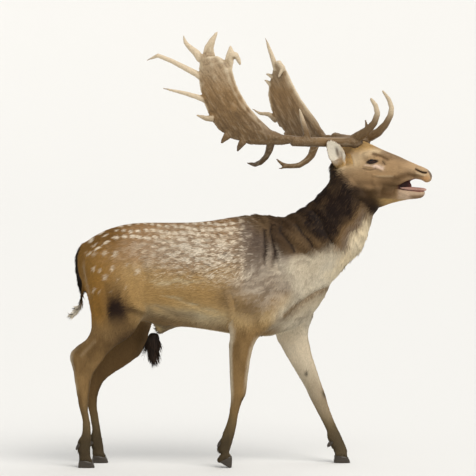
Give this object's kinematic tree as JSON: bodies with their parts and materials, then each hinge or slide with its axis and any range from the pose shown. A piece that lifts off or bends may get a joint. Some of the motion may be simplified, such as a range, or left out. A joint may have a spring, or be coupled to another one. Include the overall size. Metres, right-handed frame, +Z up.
{
  "type": "fallow deer buck",
  "caption": "Life-size still model of a walking fallow deer buck calling in the rut: palmate antlers, thick dark neck, spotted back, open mouth.",
  "frame": {"origin": "on the floor, under the middle of the box round the whole deer", "axes": "+X towards the front of the body, the way the deer walks; +Y to the deer's left; +Z up"},
  "size_m": [1.2734, 0.6708, 1.5186],
  "materials": {
    "coat": "short dense deer hair, chestnut above with pale spots, tan on the legs and cream below, matte",
    "neck_hair": "thick dark rutting hair, ruffled, matte",
    "dark_hair": "long black-brown hair of the tail and the brush, slightly glossy",
    "antler": "hard antler, brown and grooved, with paler worn edges and tips, satin",
    "hoof": "dark horn, satin, scuffed at the edges",
    "eye": "dark brown wet eye, glossy",
    "tongue": "pink wet tongue, glossy"
  },
  "bodies": {
    "root": {"antler_left_back_tine": "antler", "antler_left_beam": "antler", "antler_left_brow_tine": "antler", "antler_left_palm": "antler", "antler_right_back_tine": "antler", "antler_right_beam": "antler", "antler_right_brow_tine": "antler", "antler_right_middle_tine": "antler", "antler_right_palm": "antler", "brush": "dark_hair", "dewclaw_fore_left_a": "hoof", "dewclaw_fore_left_b": "hoof", "dewclaw_fore_right_a": "hoof", "dewclaw_fore_right_b": "hoof", "dewclaw_hind_left_a": "hoof", "dewclaw_hind_left_b": "hoof", "dewclaw_hind_right_a": "hoof", "dewclaw_hind_right_b": "hoof", "ear_left": "coat", "ear_right": "coat", "eye_left": "eye", "eye_right": "eye", "head": "coat", "hoof_fore_left_a": "hoof", "hoof_fore_left_b": "hoof", "hoof_fore_right_a": "hoof", "hoof_fore_right_b": "hoof", "hoof_hind_left_a": "hoof", "hoof_hind_left_b": "hoof", "hoof_hind_right_a": "hoof", "hoof_hind_right_b": "hoof", "jaw": "coat", "leg_fore_left": "coat", "leg_fore_right": "coat", "leg_hind_left": "coat", "leg_hind_right": "coat", "neck": "neck_hair", "tail": "dark_hair", "tongue": "tongue", "trunk": "coat"}
  },
  "joints": []
}
